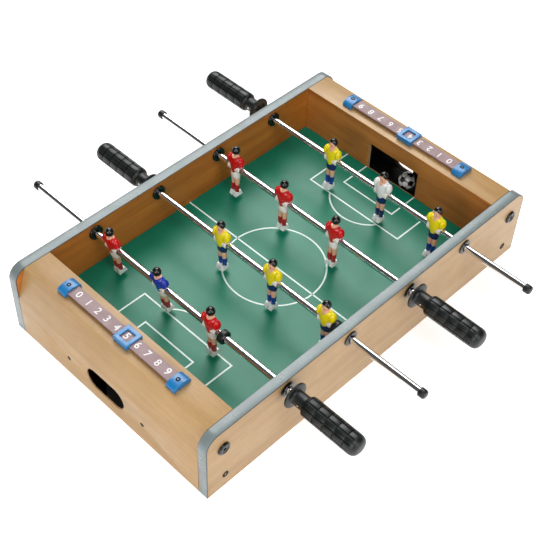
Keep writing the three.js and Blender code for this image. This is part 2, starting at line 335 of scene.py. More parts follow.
def srgb(red, green, blue):
    # a colour given in the 0 to 255 values of a paint chart
    def straight(value):
        value = value / 255
        return value / 12.92 if value <= 0.04045 else ((value + 0.055) / 1.055) ** 2.4
    return (straight(red), straight(green), straight(blue), 1)


def makeWoodGrain():
    # long streaks and fine pores on a point that is already stretched along the grain
    group, given, result = startGroup("woodGrain", [
        ("Point", "NodeSocketVector", None), ("Light", "NodeSocketColor", (0.6, 0.4, 0.25, 1)),
        ("Dark", "NodeSocketColor", (0.4, 0.25, 0.12, 1)), ("Pores", "NodeSocketFloat", 0.2)],
        [("Colour", "NodeSocketColor"), ("Height", "NodeSocketFloat")])
    broad = addNode(group, "ShaderNodeTexNoise", {"Vector": given["Point"], "Scale": 0.6, "Detail": 3.0,
                                                  "Roughness": 0.5, "Distortion": 0.6}).outputs[0]
    streak = addNode(group, "ShaderNodeTexNoise", {"Vector": given["Point"], "Scale": 2.6, "Detail": 8.0,
                                                   "Roughness": 0.65, "Distortion": 0.3}).outputs[0]
    pore = addNode(group, "ShaderNodeTexNoise", {"Vector": given["Point"], "Scale": 9.0, "Detail": 4.0,
                                                 "Roughness": 0.7}).outputs[0]
    blend = mathNode(group, "ADD", mathNode(group, "MULTIPLY", broad, 0.55),
                     mathNode(group, "MULTIPLY", streak, 0.45))
    spread = addNode(group, "ShaderNodeMapRange", {"Value": blend, "From Min": 0.38, "From Max": 0.64}).outputs[0]
    base = mixColour(group, spread, given["Light"], given["Dark"])
    poreMask = addNode(group, "ShaderNodeMapRange", {"Value": pore, "From Min": 0.55,
                                                     "From Max": 0.72}).outputs[0]
    poreShare = mathNode(group, "MULTIPLY", poreMask, given["Pores"])
    height = mathNode(group, "SUBTRACT", streak, mathNode(group, "MULTIPLY", poreMask, 0.5))
    group.links.new(mixColour(group, poreShare, base, (0.12, 0.06, 0.025, 1)), result["Colour"])
    group.links.new(height, result["Height"])
    return group


def makeHandling():
    # slow, uneven rubbing: a mask for gloss and a slightly darker or lighter colour
    group, given, result = startGroup("handlingMarks", [
        ("Point", "NodeSocketVector", None), ("Scale", "NodeSocketFloat", 60.0),
        ("Colour", "NodeSocketColor", (0.5, 0.5, 0.5, 1)), ("Change", "NodeSocketFloat", 0.1),
        ("Smooth", "NodeSocketFloat", 0.2), ("Rough", "NodeSocketFloat", 0.4)],
        [("Colour", "NodeSocketColor"), ("Roughness", "NodeSocketFloat"), ("Mask", "NodeSocketFloat")])
    cloud = addNode(group, "ShaderNodeTexNoise", {"Vector": given["Point"], "Scale": given["Scale"], "Detail": 5.0,
                                                  "Roughness": 0.6}).outputs[0]
    mask = addNode(group, "ShaderNodeMapRange", {"Value": cloud, "From Min": 0.35, "From Max": 0.68}).outputs[0]
    rough = addNode(group, "ShaderNodeMapRange", {"Value": mask, "To Min": given["Smooth"],
                                                  "To Max": given["Rough"]}).outputs[0]
    brightness = addNode(group, "ShaderNodeMapRange", {
        "Value": mask, "To Min": mathNode(group, "ADD", given["Change"], 1.0),
        "To Max": mathNode(group, "SUBTRACT", 1.0, given["Change"])}).outputs[0]
    tint = addNode(group, "ShaderNodeHueSaturation", {"Value": brightness, "Color": given["Colour"]}).outputs[0]
    group.links.new(tint, result["Colour"])
    group.links.new(rough, result["Roughness"])
    group.links.new(mask, result["Mask"])
    return group


def makeFineGrain():
    # the tiny pebbling of moulded plastic, paint or pressed board
    group, given, result = startGroup("fineGrain", [
        ("Point", "NodeSocketVector", None), ("Scale", "NodeSocketFloat", 900.0),
        ("Distance", "NodeSocketFloat", 0.00003), ("Strength", "NodeSocketFloat", 0.3)],
        [("Normal", "NodeSocketVector"), ("Height", "NodeSocketFloat")])
    grain = addNode(group, "ShaderNodeTexNoise", {"Vector": given["Point"], "Scale": given["Scale"],
                                                  "Detail": 3.0}).outputs[0]
    bump = addNode(group, "ShaderNodeBump", {"Height": grain, "Distance": given["Distance"],
                                             "Strength": given["Strength"]}).outputs[0]
    group.links.new(bump, result["Normal"])
    group.links.new(grain, result["Height"])
    return group


woodGrain = makeWoodGrain()
handlingMarks = makeHandling()
fineGrain = makeFineGrain()


def makeWood(name, light, dark, along, roughness=0.4, seed=0.0):
    # varnished board with its grain along one axis
    material, tree, shader = startMaterial(name)
    stretch = {"X": (5, 75, 75), "Y": (75, 5, 75), "Z": (75, 75, 5)}[along]
    point = objectPoint(tree, stretch, (seed, seed * 0.7, seed * 1.3))
    wood = useGroup(tree, woodGrain, Point=point, Light=light, Dark=dark, Pores=0.25)
    marks = useGroup(tree, handlingMarks, Point=objectPoint(tree), Scale=14.0, Colour=wood["Colour"],
                     Change=0.05, Smooth=roughness - 0.07, Rough=roughness + 0.08)
    bump = addNode(tree, "ShaderNodeBump", {"Height": wood["Height"], "Distance": 0.00012, "Strength": 0.35})
    wireShader(tree, shader, marks["Colour"], marks["Roughness"], bump.outputs[0])
    shader.inputs["Coat Weight"].default_value = 0.15
    shader.inputs["Coat Roughness"].default_value = 0.3
    return material


def makeMoulded(name, colour, smoothest, roughest, change=0.06, grain=0.25, coat=0.0, scale=70.0, specular=0.5):
    # moulded plastic or gloss paint
    material, tree, shader = startMaterial(name)
    point = objectPoint(tree)
    marks = useGroup(tree, handlingMarks, Point=point, Scale=scale, Colour=colour, Change=change,
                     Smooth=smoothest, Rough=roughest)
    fine = useGroup(tree, fineGrain, Point=point, Scale=1400.0, Distance=0.00004, Strength=grain)
    wireShader(tree, shader, marks["Colour"], marks["Roughness"], fine["Normal"])
    shader.inputs["Coat Weight"].default_value = coat
    shader.inputs["Coat Roughness"].default_value = 0.08
    shader.inputs["Specular IOR Level"].default_value = specular
    return material


def makeEdgeFoil():
    # a grey metallic foil, darker in a thin line along either edge of the strip
    material, tree, shader = startMaterial("edgeFoil")
    point = objectPoint(tree)
    y = addNode(tree, "ShaderNodeSeparateXYZ", {"Vector": point}).outputs["Y"]
    offset = mathNode(tree, "SUBTRACT", mathNode(tree, "ABSOLUTE", y), 0.1524)
    # the strip is darker within a thin band at either edge
    rim = mathNode(tree, "GREATER_THAN", mathNode(tree, "ABSOLUTE", offset), 0.00585)
    foil = mixColour(tree, rim, srgb(122, 133, 134), srgb(66, 74, 76))
    marks = useGroup(tree, handlingMarks, Point=point, Scale=40.0, Colour=foil, Change=0.06, Smooth=0.25,
                     Rough=0.36)
    fine = useGroup(tree, fineGrain, Point=point, Scale=1400.0, Distance=0.00004, Strength=0.3)
    wireShader(tree, shader, marks["Colour"], marks["Roughness"], fine["Normal"])
    shader.inputs["Metallic"].default_value = 0.06
    return material


def makeRawBoard():
    # pressed fibre: a plain tan with flecks of light and dark fibre
    material, tree, shader = startMaterial("rawBoard")
    point = objectPoint(tree)
    fleck = addNode(tree, "ShaderNodeTexNoise", {"Vector": point, "Scale": 800.0, "Detail": 4.0,
                                                 "Roughness": 0.7}).outputs[0]
    cloud = addNode(tree, "ShaderNodeTexNoise", {"Vector": point, "Scale": 60.0, "Detail": 3.0}).outputs[0]
    share = addNode(tree, "ShaderNodeMapRange", {"Value": fleck, "From Min": 0.35, "From Max": 0.7}).outputs[0]
    colour = mixColour(tree, share, srgb(196, 160, 112), srgb(150, 112, 72))
    colour = mixColour(tree, mathNode(tree, "MULTIPLY", cloud, 0.3), colour, srgb(120, 85, 50))
    rough = addNode(tree, "ShaderNodeMapRange", {"Value": fleck, "To Min": 0.7, "To Max": 0.92}).outputs[0]
    bump = addNode(tree, "ShaderNodeBump", {"Height": fleck, "Distance": 0.0002, "Strength": 0.5})
    wireShader(tree, shader, colour, rough, bump.outputs[0])
    return material


def makePitchGreen():
    # a printed green film under a satin varnish, a little darker and cloudier in places
    material, tree, shader = startMaterial("pitchGreen")
    point = objectPoint(tree)
    cloud = addNode(tree, "ShaderNodeTexNoise", {"Vector": point, "Scale": 9.0, "Detail": 4.0}).outputs[0]
    colour = mixColour(tree, cloud, srgb(8, 128, 100), srgb(4, 118, 90))
    fine = addNode(tree, "ShaderNodeTexNoise", {"Vector": point, "Scale": 1500.0, "Detail": 2.0}).outputs[0]
    colour = mixColour(tree, mathNode(tree, "MULTIPLY", fine, 0.12), colour, srgb(40, 150, 124))
    marks = useGroup(tree, handlingMarks, Point=point, Scale=25.0, Colour=colour, Change=0.03, Smooth=0.30,
                     Rough=0.38)
    bump = addNode(tree, "ShaderNodeBump", {"Height": fine, "Distance": 0.00003, "Strength": 0.25})
    wireShader(tree, shader, marks["Colour"], marks["Roughness"], bump.outputs[0])
    shader.inputs["Specular IOR Level"].default_value = 0.36
    return material


def makeChrome():
    # plated steel with faint polishing rings round the rod
    material, tree, shader = startMaterial("chrome")
    rings = addNode(tree, "ShaderNodeTexNoise", {"Vector": objectPoint(tree, (20, 2500, 20)), "Scale": 1.0,
                                                 "Detail": 2.0}).outputs[0]
    marks = useGroup(tree, handlingMarks, Point=objectPoint(tree), Scale=45.0, Colour=(0.82, 0.83, 0.84, 1),
                     Change=0.03, Smooth=0.07, Rough=0.12)
    bump = addNode(tree, "ShaderNodeBump", {"Height": rings, "Distance": 0.000004, "Strength": 0.1})
    wireShader(tree, shader, marks["Colour"], marks["Roughness"], bump.outputs[0])
    shader.inputs["Metallic"].default_value = 1.0
    return material


def makeShirtPaint(name, colour, skin):
    # the shirt's gloss paint, which stops at a V-shaped neckline in front and a round one behind
    material, tree, shader = startMaterial(name)
    own = addNode(tree, "ShaderNodeAttribute", attribute_name="figureSpace").outputs["Vector"]
    parts = addNode(tree, "ShaderNodeSeparateXYZ", {"Vector": own}).outputs
    across = mathNode(tree, "ABSOLUTE", parts["Y"])
    front = mathNode(tree, "GREATER_THAN", parts["X"], 0.0)
    vee = mathNode(tree, "ADD", mathNode(tree, "MULTIPLY", across, 1.3), 12.6)
    nape = mathNode(tree, "ADD", mathNode(tree, "MULTIPLY", across, 0.4), 16.4)
    edge = mathNode(tree, "ADD", mathNode(tree, "MULTIPLY", vee, front),
                    mathNode(tree, "MULTIPLY", nape, mathNode(tree, "SUBTRACT", 1.0, front)))
    height = mathNode(tree, "SUBTRACT", parts["Z"], edge)
    bare = addNode(tree, "ShaderNodeMapRange", {"Value": height, "From Min": -0.15, "From Max": 0.15}).outputs[0]
    cuff = addNode(tree, "ShaderNodeTexNoise", {"Vector": own, "Scale": 0.35, "Detail": 2.0}).outputs[0]
    paint = mixColour(tree, mathNode(tree, "MULTIPLY", cuff, 0.25), colour,
                      tuple(channel * 0.55 for channel in colour[:3]) + (1,))
    marks = useGroup(tree, handlingMarks, Point=objectPoint(tree), Scale=120.0,
                     Colour=mixColour(tree, bare, paint, skin), Change=0.04, Smooth=0.2, Rough=0.3)
    fine = useGroup(tree, fineGrain, Point=objectPoint(tree), Scale=700.0, Distance=0.00006, Strength=0.2)
    wireShader(tree, shader, marks["Colour"], marks["Roughness"], fine["Normal"])
    shader.inputs["Coat Weight"].default_value = 0.4
    shader.inputs["Coat Roughness"].default_value = 0.1
    return material


print("materials")
outerWood = makeWood("outerWood", srgb(186, 151, 103), srgb(172, 133, 85), "X", seed=1.0)
coverWood = makeWood("coverWood", srgb(188, 151, 98), srgb(174, 134, 82), "Y", seed=4.0)
# the wood inside the box: the same foil as the outer wood, painted darker and more orange as painted shade
innerWood = makeWood("innerWood", srgb(196, 122, 46), srgb(164, 94, 28), "X", roughness=0.36, seed=2.0)
# the goal walls' and cover rims' wood: the same foil again, painted darker and more orange as painted shade
shadedGoalWood = makeWood("shadedGoalWood", srgb(198, 126, 58), srgb(166, 98, 36), "Y", roughness=0.36, seed=3.0)
rawBoard = makeRawBoard()
blackBoard = makeMoulded("blackBoard", srgb(16, 13, 12), 0.7, 0.9, specular=0.2)
edgeFoil = makeEdgeFoil()
pitchGreen = makePitchGreen()
linePaint = makeMoulded("linePaint", srgb(232, 250, 244), 0.35, 0.5, change=0.04)
chrome = makeChrome()
gripPlastic = makeMoulded("gripPlastic", srgb(14, 20, 19), 0.34, 0.46, change=0.12, grain=0.5)
blackGloss = makeMoulded("blackGloss", srgb(12, 13, 13), 0.12, 0.25, change=0.1, coat=0.3)
boltBlack = makeMoulded("boltBlack", srgb(9, 9, 8), 0.2, 0.32, change=0.12, coat=0.2)
screwBlack = makeMoulded("screwBlack", srgb(14, 11, 9), 0.4, 0.6, change=0.15, specular=0.15)
scoreBlue = makeMoulded("scoreBlue", srgb(22, 120, 182), 0.26, 0.4, change=0.04, specular=0.8)
scoreMauve = makeMoulded("scoreMauve", srgb(144, 116, 118), 0.35, 0.5, change=0.05)
digitWhite = makeMoulded("digitWhite", srgb(236, 234, 232), 0.4, 0.55, change=0.03)
ballWhite = makeMoulded("ballWhite", srgb(232, 234, 233), 0.16, 0.3, change=0.03, coat=0.3)
ballBlack = makeMoulded("ballBlack", srgb(22, 24, 26), 0.18, 0.32, change=0.1, coat=0.3)
skinColour = srgb(240, 184, 152)


def figurePaint(name, colour, change=0.05):
    return makeMoulded(name, colour, 0.18, 0.3, change=change, grain=0.2, coat=0.4, scale=140.0)


hairPaint = figurePaint("hairPaint", srgb(8, 9, 9), 0.15)
skinPaint = figurePaint("skinPaint", skinColour)
armPaint = figurePaint("armPaint", srgb(246, 238, 230))
bootPaint = figurePaint("bootPaint", srgb(244, 250, 250), 0.03)
whitePaint = figurePaint("whitePaint", srgb(246, 240, 236), 0.03)
redPaint = figurePaint("redPaint", srgb(178, 16, 24))
navyPaint = figurePaint("navyPaint", srgb(20, 34, 96))
royalPaint = figurePaint("royalPaint", srgb(18, 52, 150))
redShirt = makeShirtPaint("redShirt", srgb(214, 8, 20), skinColour)
blueShirt = makeShirtPaint("blueShirt", srgb(26, 52, 176), skinColour)
yellowShirt = makeShirtPaint("yellowShirt", srgb(254, 234, 8), skinColour)
whiteShirt = makeShirtPaint("whiteShirt", srgb(250, 250, 250), skinColour)


# The side walls

bandLow, bandHigh = boxOf("front_edge_band")
rodMiddles = [middleOf(stem + "_rod") for stem in ("red_goal", "yellow_attack", "red_attack", "yellow_goal")]
wall = {
    "length": bandHigh.x - bandLow.x, "width": -2 * bandLow.y, "height": bandHigh.z,
    "thickness": bandHigh.y - bandLow.y, "bandThickness": 1.0, "cornerRadius": 17.0,
    "rodX": [middle.x for middle in rodMiddles], "rodHeight": rodMiddles[0].z, "holeRadius": 6.6,
}


def roundTopCorners(radius, segments):
    # rounds the two top corners of the board in edit mode
    low, high = wall["height"] * 0.9, wall["length"] / 2 * 0.9
    chooseEdges(lambda a, b: a.z > low and b.z > low and abs(a.x - b.x) < 0.01 and abs(a.x) > high)
    bpy.ops.mesh.bevel(offset=radius * mm, offset_type="OFFSET", segments=segments, affect="EDGES")


def addSideWall(name, side):
    # the bored board, and the strip that wraps its top and ends
    outer, inner = side * wall["width"] / 2, side * (wall["width"] / 2 - wall["thickness"])
    near, far = min(outer, inner), max(outer, inner)
    inset = wall["bandThickness"] + 0.1
    half = wall["length"] / 2
    board = addBox(name + "_side_wall", (inset - half, near, 0), (half - inset, far, wall["height"] - inset))
    startEdit(board, "EDGE")
    roundTopCorners(wall["cornerRadius"] - inset, 14)
    endEdit()
    giveMaterials(board, rawBoard, outerWood, innerWood)
    holes = []
    for x in wall["rodX"]:
        hole = addTurned("hole", [(-20, wall["holeRadius"]), (20, wall["holeRadius"])])
        giveMaterials(hole, rawBoard)
        holes.append(freeze(hole, (x, outer, wall["rodHeight"]), (math.pi / 2, 0, 0)))
    cutAway(board, *holes)
    paintFaces(board, 1, lambda centre, normal: normal.y * side > 0.9)
    # the inner face gets the darker wood, which is painted shade
    paintFaces(board, 2, lambda centre, normal: normal.y * side < -0.9)
    place(board, "table", "outer_wood", name + "_side_panel")

    band = addBox(name + "_edge_strip", (-half, near, 0), (half, far, wall["height"]))
    startEdit(band, "EDGE")
    roundTopCorners(wall["cornerRadius"], 16)
    bpy.ops.mesh.select_mode(type="FACE")
    chooseFaces(lambda centre, normal: abs(normal.y) > 0.9 or normal.z < -0.9)
    bpy.ops.mesh.delete(type="FACE")
    endEdit()
    useModifier(band, "SOLIDIFY", thickness=wall["bandThickness"] * mm, offset=-1.0, use_even_offset=True)
    softenEdges(band, 0.3, 2, 60)
    giveMaterials(band, edgeFoil)
    smooth(band, 40)
    place(band, "table", "edge_band", name + "_edge_band")


print("side walls")
addSideWall("front", -1)
addSideWall("back", 1)


# The two ends

ends = {
    "innerHalfWidth": 145.8, "goalWallX": 206.8, "goalWallThickness": 5.0, "goalHalfWidth": 39.0,
    "goalTop": 72.8, "fieldTop": 33.7, "coverThickness": 6.0, "flatEnd": 241.6, "slopeBottom": 57.0,
    "holeWidth": 61.0, "holeHeight": 30.3, "holeCentre": 32.15, "screwY": (61.8, -59.5), "screwZ": 28.0,
    "screwRadius": 2.6,
}


def addHoleCutter(depth, inset, material):
    # a round-ended plug for the ball's hole, reaching the given depth into the end
    radius = ends["holeHeight"] / 2 - inset
    run = ends["holeWidth"] / 2 - ends["holeHeight"] / 2
    hole = freeze(addTurned("hole", [(-depth, radius), (20, radius)], 64), rotation=(math.pi / 2, 0, math.pi / 2))
    startEdit(hole, "VERT")
    bpy.ops.mesh.select_all(action="SELECT")
    bpy.ops.mesh.bisect(plane_co=(0, 0, 0), plane_no=(0, 1, 0))
    mesh = bmesh.from_edit_mesh(hole.data)
    for side in (-1, 1):
        for vertex in mesh.verts:
            vertex.select_set(vertex.co.y * side > 0.0001)
        mesh.select_flush_mode()
        bmesh.update_edit_mesh(hole.data)
        bpy.ops.transform.translate(value=(0, side * run * mm, 0))
    endEdit()
    return freeze(giveMaterials(hole, material), (wall["length"] / 2, 0, ends["holeCentre"]))


def addEndCover():
    # a sheet of board folded over the end: top, slope and upright, with the ball's hole through it
    half, outer = ends["innerHalfWidth"], wall["length"] / 2
    cover = addBox("cover", (ends["goalWallX"], -half, 0), (outer, half, wall["height"]))
    foldTop = Vector((ends["flatEnd"], 0, wall["height"]))
    foldBottom = Vector((outer, 0, ends["slopeBottom"]))
    slopeNormal = Vector((wall["height"] - ends["slopeBottom"], 0, outer - ends["flatEnd"])).normalized()
    startEdit(cover)
    bpy.ops.mesh.select_all(action="SELECT")
    bpy.ops.mesh.bisect(plane_co=(foldTop + foldBottom) / 2 * mm, plane_no=slopeNormal, use_fill=True,
                        clear_outer=True)
    chooseFaces(lambda centre, normal: abs(normal.y) > 0.9 or normal.z < -0.9 or normal.x < -0.9)
    bpy.ops.mesh.delete(type="FACE")
    endEdit()
    # the cover's rims take the darker wood as painted shade; its inside is black board
    giveMaterials(cover, coverWood, blackBoard, shadedGoalWood)
    useModifier(cover, "SOLIDIFY", thickness=ends["coverThickness"] * mm, offset=-1.0, use_even_offset=True,
                material_offset=1, material_offset_rim=2)
    # the hole's wall keeps the bare board's colour for its first 1.4 mm and is black beyond
    cutAway(cover, addHoleCutter(1.4, 0, rawBoard))
    cutAway(cover, addHoleCutter(20, 0.4, blackBoard))
    for y in ends["screwY"]:
        well = giveMaterials(addTurned("well", [(-0.6, ends["screwRadius"] + 0.1), (3, 3)], 32), screwBlack)
        cutAway(cover, freeze(well, (outer, -y, ends["screwZ"]), (0, math.pi / 2, 0)))
    softenEdges(cover, 0.3, 2, 25)
    return smooth(cover, 30)


def addGoalWall():
    # an upright board with the goal's mouth cut through it
    half, thickness = ends["innerHalfWidth"], ends["goalWallThickness"]
    board = addBox("goalWall", (ends["goalWallX"], -half, 0),
                   (ends["goalWallX"] + thickness, half, wall["height"] - ends["coverThickness"] - 0.1))
    giveMaterials(board, rawBoard, shadedGoalWood, blackBoard)
    mouth = addBox("mouth", (ends["goalWallX"] - 5, -ends["goalHalfWidth"], ends["fieldTop"] - 4.3),
                   (ends["goalWallX"] + thickness + 5, ends["goalHalfWidth"], ends["goalTop"]))
    giveMaterials(mouth, rawBoard)
    cutAway(board, mouth)
    # the face towards the pitch gets the darker wood, which is painted shade
    paintFaces(board, 1, lambda centre, normal: normal.x < -0.9)
    paintFaces(board, 2, lambda centre, normal: normal.x > 0.9)
    return softenEdges(board, 0.25, 2, 60)


print("ends")
coverModel = addEndCover()
goalModel = addGoalWall()
for endName, turn in (("left", math.pi), ("right", 0.0)):
    cover = copyPiece(coverModel, endName + "_folded_cover", rotation=(0, 0, turn))
    place(cover, "table", "outer_wood", endName + "_end_cover")
    board = copyPiece(goalModel, endName + "_goal_board", rotation=(0, 0, turn))
    place(board, "table", "inner_wood", endName + "_goal_wall")
discard(coverModel, goalModel)
for nodeName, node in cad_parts.items():
    if nodeName.endswith("_ball_tray"):
        node.material_slots[0].material = blackBoard
    if nodeName.endswith("_end_batten"):
        node.material_slots[0].material = rawBoard


# The pitch

pitch = {
    "halfLength": 206.5, "halfWidth": 145.8, "top": 33.7, "thickness": 4.0, "lineWidth": 2.0, "paint": 0.12,
    "penaltyX": 137.3, "penaltyY": 71.5, "goalX": 164.1, "goalY": 39.2, "circleRadius": 61.5,
    "arcCentre": 163.3, "arcRadius": 46.3,
}


def addPlayBoard():
    # the thin board between the walls, green on top
    board = addBox("play_board", (-pitch["halfLength"], -pitch["halfWidth"], pitch["top"] - pitch["thickness"]),
                   (pitch["halfLength"], pitch["halfWidth"], pitch["top"]))
    giveMaterials(board, rawBoard, pitchGreen)
    paintFaces(board, 1, lambda centre, normal: normal.z > 0.9)
    softenEdges(board, 0.2)
    place(board, "table", "field_green", "playfield")


def addRing(radius, centreX=0.0):
    # a flat painted ring
    clearSelection()
    width = pitch["lineWidth"]
    bpy.ops.mesh.primitive_circle_add(vertices=128, radius=(radius + width / 2) * mm, fill_type="NGON")
    ring = bpy.context.active_object
    startEdit(ring)
    bpy.ops.mesh.select_all(action="SELECT")
    bpy.ops.mesh.inset(thickness=width * mm)
    bpy.ops.mesh.delete(type="FACE")
    endEdit()
    return freeze(ring, (centreX, 0, pitch["top"] + pitch["paint"]))


def addStripe(fromX, toX, fromY, toY):
    clearSelection()
    bpy.ops.mesh.primitive_plane_add(size=mm)
    centre = ((fromX + toX) / 2, (fromY + toY) / 2, pitch["top"] + pitch["paint"])
    return freeze(bpy.context.active_object, centre, scale=(toX - fromX, toY - fromY, 1))


def addBoxLines(side, lineX, lineY):
    # three sides of a marked box, closed by the goal wall
    half = pitch["lineWidth"] / 2
    stripes = [addStripe(*sorted((side * (lineX - half), side * (lineX + half))), -lineY - half, lineY + half)]
    for across in (-lineY, lineY):
        span = sorted((side * (lineX + half), side * pitch["halfLength"]))
        stripes.append(addStripe(*span, across - half, across + half))
    return stripes


def addPitchLines():
    # the middle line and circle, and two boxes and an arc at either end, all one layer of paint
    half = pitch["lineWidth"] / 2
    marks = [addStripe(-half, half, -pitch["halfWidth"], pitch["halfWidth"]), addRing(pitch["circleRadius"])]
    for side in (-1, 1):
        marks += addBoxLines(side, pitch["penaltyX"], pitch["penaltyY"])
        marks += addBoxLines(side, pitch["goalX"], pitch["goalY"])
        arc = addRing(pitch["arcRadius"], side * pitch["arcCentre"])
        startEdit(arc)
        bpy.ops.mesh.select_all(action="SELECT")
        bpy.ops.mesh.bisect(plane_co=(side * (pitch["penaltyX"] - half) * mm, 0, 0), plane_no=(side, 0, 0),
                            clear_outer=True)
        endEdit()
        marks.append(arc)
    lines = joinPieces(*marks)
    named(lines, "pitch_lines")
    useModifier(lines, "SOLIDIFY", thickness=(pitch["paint"] - 0.01) * mm, offset=-1.0)
    giveMaterials(lines, linePaint)
    place(lines, "table", "figure_white")


print("pitch")
addPlayBoard()
addPitchLines()


# Bolts and screws

fixings = {
    "boltX": 232.0, "boltZ": 69.0, "boltRadius": 8.0, "boltHeight": 2.6, "socketRadius": 2.3,
    "screwX": (-229.4, 231.9), "screwZ": 19.0, "screwRadius": 4.3,
}


def addBoltCap():
    # a dished cap over the bolt's head, with a hexagon socket
    radius, height = fixings["boltRadius"], fixings["boltHeight"]
    cap = addTurned("boltCap", [
        (0, radius), (height * 0.35, radius), (height * 0.8, radius * 0.9), (height, radius * 0.74),
        (height, radius * 0.62), (height * 0.7, radius * 0.5)], 64)
    softenEdges(cap, 0.2, 2, 30)
    socket = addTurned("socket", [(0.4, fixings["socketRadius"]), (height * 2, fixings["socketRadius"])], 6)
    giveMaterials(socket, boltBlack)
    giveMaterials(cap, boltBlack)
    cutAway(cap, socket)
    return smooth(cap, 35)


def addScrewHead(radius):
    # a countersunk cross-head screw seen from above, its edge just proud of the board
    head = addTurned("screwHead", [(-1.6, radius * 0.45), (0, radius), (0.25, radius * 0.97), (0.35, radius * 0.85)],
                     40)
    giveMaterials(head, screwBlack)
    for long, wide in ((radius * 1.1, radius * 0.28), (radius * 0.28, radius * 1.1)):
        slot = addBox("slot", (-long / 2, -wide / 2, -0.9), (long / 2, wide / 2, 1))
        giveMaterials(slot, screwBlack)
        cutAway(head, slot)
    softenEdges(head, 0.08, 1, 40)
    return smooth(head, 35)


print("bolts and screws")
boltModel = addBoltCap()
for sideName, side in (("front", -1), ("back", 1)):
    facing = (-side * math.pi / 2, 0, 0)
    for endName, end in (("left", -1), ("right", 1)):
        spot = (end * fixings["boltX"], side * (wall["width"] / 2 + 0.3), fixings["boltZ"])
        bolt = copyPiece(boltModel, sideName + "_" + endName + "_bolt_cap", spot, facing)
        place(bolt, "table", "bolt_black", sideName + "_" + endName + "_bolt")
screwModel = addScrewHead(fixings["screwRadius"])
smallScrewModel = addScrewHead(ends["screwRadius"])
for sideName, side in (("front", -1), ("back", 1)):
    for endName, x in zip(("left", "right"), fixings["screwX"]):
        spot = (x, side * wall["width"] / 2, fixings["screwZ"])
        facing = (-side * math.pi / 2, 0, 0)
        screw = copyPiece(screwModel, sideName + "_" + endName + "_wall_screw", spot, facing)
        place(screw, "table", "bolt_black")
for endName, end in (("left", -1), ("right", 1)):
    for index, y in enumerate(ends["screwY"]):
        spot = (end * (wall["length"] / 2 - 0.45), -end * y, ends["screwZ"])
        name = endName + "_end_screw_" + str(index + 1)
        screw = copyPiece(smallScrewModel, name, spot, (0, end * math.pi / 2, 0))
        place(screw, "table", "bolt_black")
discard(boltModel, screwModel, smallScrewModel)


# The rods and what is on them

# kick: which way the rod's figures face, 1 being to the right;
# team: the far, middle and near figure's colour and its lean in degrees
rods = {
    "red_goal": {"kick": 1, "team": (("red", 8), ("blue", 10), ("red", 2))},
    "yellow_attack": {"kick": -1, "team": (("yellow", 2), ("yellow", 0), ("yellow", 2))},
    "red_attack": {"kick": 1, "team": (("red", 0), ("red", 0), ("red", -1))},
    "yellow_goal": {"kick": -1, "team": (("yellow", -2), ("white", 0), ("yellow", -2))},
}

gripShape = {
    "radius": 12.0, "ridges": 10, "sidesEach": 6, "grooveDepth": 1.5, "grooveFrom": 8.0, "grooveTo": 71.0,
    "firstCut": 15.6, "padLength": 13.4, "cutHalf": 0.5, "neck": 8.6, "collar": 15.4, "length": 90.4, "bore": 4.2,
    "boreEnd": 22.4, "recess": 9.9, "recessDepth": 2.0, "screwHeight": 78.5,
}


def addGrip():
    # from the tip at height 0: a dome, ridges cut into pads, a neck and a round collar
    radius, neck, collar, length = (gripShape[key] for key in ("radius", "neck", "collar", "length"))
    inside, sides = length - gripShape["recessDepth"], gripShape["ridges"] * gripShape["sidesEach"]
    grip = addTurned("gripModel", [
        (0, 3), (0.2, 5.2), (0.7, 7.3), (1.8, 9.3), (3.4, 10.7), (5.4, 11.6), (8, radius), (69.6, radius),
        (71, radius - 0.5), (72.2, radius - 1.6), (73, neck + 0.9), (73.4, neck), (85.6, neck), (86.9, neck + 1.4),
        (87.5, collar - 1.4), (88.1, collar - 0.2), (88.6, collar), (length - 0.5, collar),
        (length, collar - 0.5), (length, gripShape["recess"]), (inside, gripShape["recess"]),
        (inside, gripShape["bore"]), (gripShape["boreEnd"], gripShape["bore"])], sides)
    cuts = [gripShape["firstCut"] + gripShape["padLength"] * step for step in range(5)]

    def onShaft(centre, normal):
        return centre.xy.length > radius - 0.6 and gripShape["grooveFrom"] < centre.z < gripShape["grooveTo"]

    def inGroove(centre, normal):
        column = int((math.atan2(centre.y, centre.x) % math.tau) / math.tau * sides)
        crossing = any(abs(centre.z - cut) < gripShape["cutHalf"] for cut in cuts)
        return onShaft(centre, normal) and (column % gripShape["sidesEach"] == 0 or crossing)

    startEdit(grip)
    for cut in cuts:
        for edge in (cut - gripShape["cutHalf"], cut + gripShape["cutHalf"]):
            chooseFaces(onShaft)
            bpy.ops.mesh.bisect(plane_co=(0, 0, edge * mm), plane_no=(0, 0, 1))
    chooseFaces(inGroove)
    bpy.ops.mesh.extrude_region_shrink_fatten(
        TRANSFORM_OT_shrink_fatten={"value": -gripShape["grooveDepth"] * mm})
    endEdit()
    giveMaterials(grip, gripPlastic)
    well = freeze(addTurned("well", [(-1.6, 1.9), (3, 1.9)], 24), (-neck, 0, gripShape["screwHeight"]),
                  (0, -math.pi / 2, 0))
    cutAway(grip, giveMaterials(well, gripPlastic))
    softenEdges(grip, 0.35, 2, 42)
    screw = addTurned("gripScrew", [(-1.6, 1.6), (-0.9, 1.6), (-0.5, 1.2)], 24)
    startEdit(screw)
    chooseFaces(lambda centre, normal: normal.z > 0.9)
    bpy.ops.mesh.inset(thickness=0.6 * mm)
    bpy.ops.mesh.extrude_region_move(TRANSFORM_OT_translate={"value": (0, 0, -0.6 * mm)})
    endEdit()
    giveMaterials(freeze(screw, (-neck, 0, gripShape["screwHeight"]), (0, -math.pi / 2, 0)), chrome)
    return smooth(joinPieces(grip, screw), 30)


